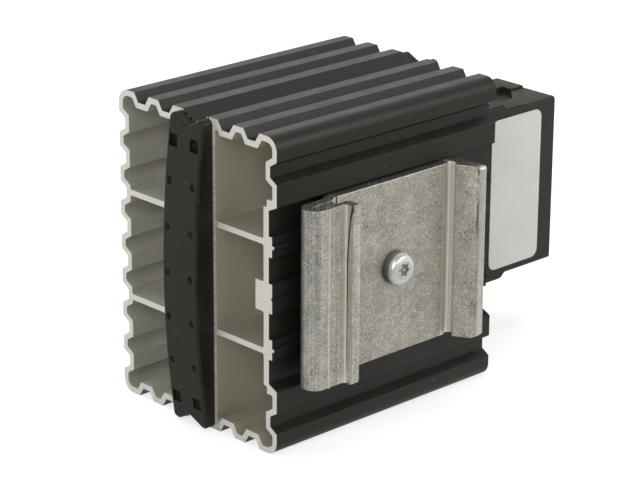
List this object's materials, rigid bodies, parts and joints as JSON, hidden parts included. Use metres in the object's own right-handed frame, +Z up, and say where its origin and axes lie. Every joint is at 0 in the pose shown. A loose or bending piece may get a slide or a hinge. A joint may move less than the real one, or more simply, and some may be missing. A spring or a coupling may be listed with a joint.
{
  "type": "enclosure heater",
  "caption": "Small fanless heater for control cabinets: black ribbed aluminium profile with air channels, plastic end cap, terminal housing and a clip for a 35 mm rail.",
  "frame": {"origin": "middle of the footprint, on the surface that the lowest ribs stand on", "axes": "+X from the end cap towards the terminal housing, -Y towards the rail clip, +Z up"},
  "size_m": [0.1072, 0.0584, 0.07],
  "materials": {
    "black_anodised": "black anodised extrusion, bare where sawn",
    "black_plastic": "fine-grained black moulded plastic",
    "bare_aluminium": "tumbled bare aluminium with fine scratches",
    "zinc_steel": "bright zinc-plated steel",
    "label_white": "bare pale foil",
    "insulation": "pale heat-resistant moulding",
    "ceramic": "fired white ceramic",
    "stone_grey": "dark fired heating stone",
    "contact_metal": "tinned brass sheet",
    "spring_steel": "bright spring steel"
  },
  "bodies": {
    "root": {"radiator_profile": "black_anodised", "end_cap": "black_plastic", "terminal_housing": "black_plastic", "terminal_cover": "black_plastic", "terminal_block": "insulation", "clamp_spring_1": "spring_steel", "clamp_spring_2": "spring_steel", "clamp_spring_3": "spring_steel", "clamp_spring_4": "spring_steel", "live_bar": "contact_metal", "neutral_bar": "contact_metal", "earth_bar": "contact_metal", "earth_screw": "zinc_steel", "live_electrode": "bare_aluminium", "neutral_electrode": "bare_aluminium", "heating_stone_near": "stone_grey", "heating_stone_far": "stone_grey", "stone_frame": "insulation", "insulator_front": "ceramic", "insulator_back": "ceramic", "fixed_wedge": "bare_aluminium", "driven_wedge": "bare_aluminium", "rail_clip": "bare_aluminium", "clip_screw": "zinc_steel", "blank_label": "label_white"}
  },
  "joints": []
}
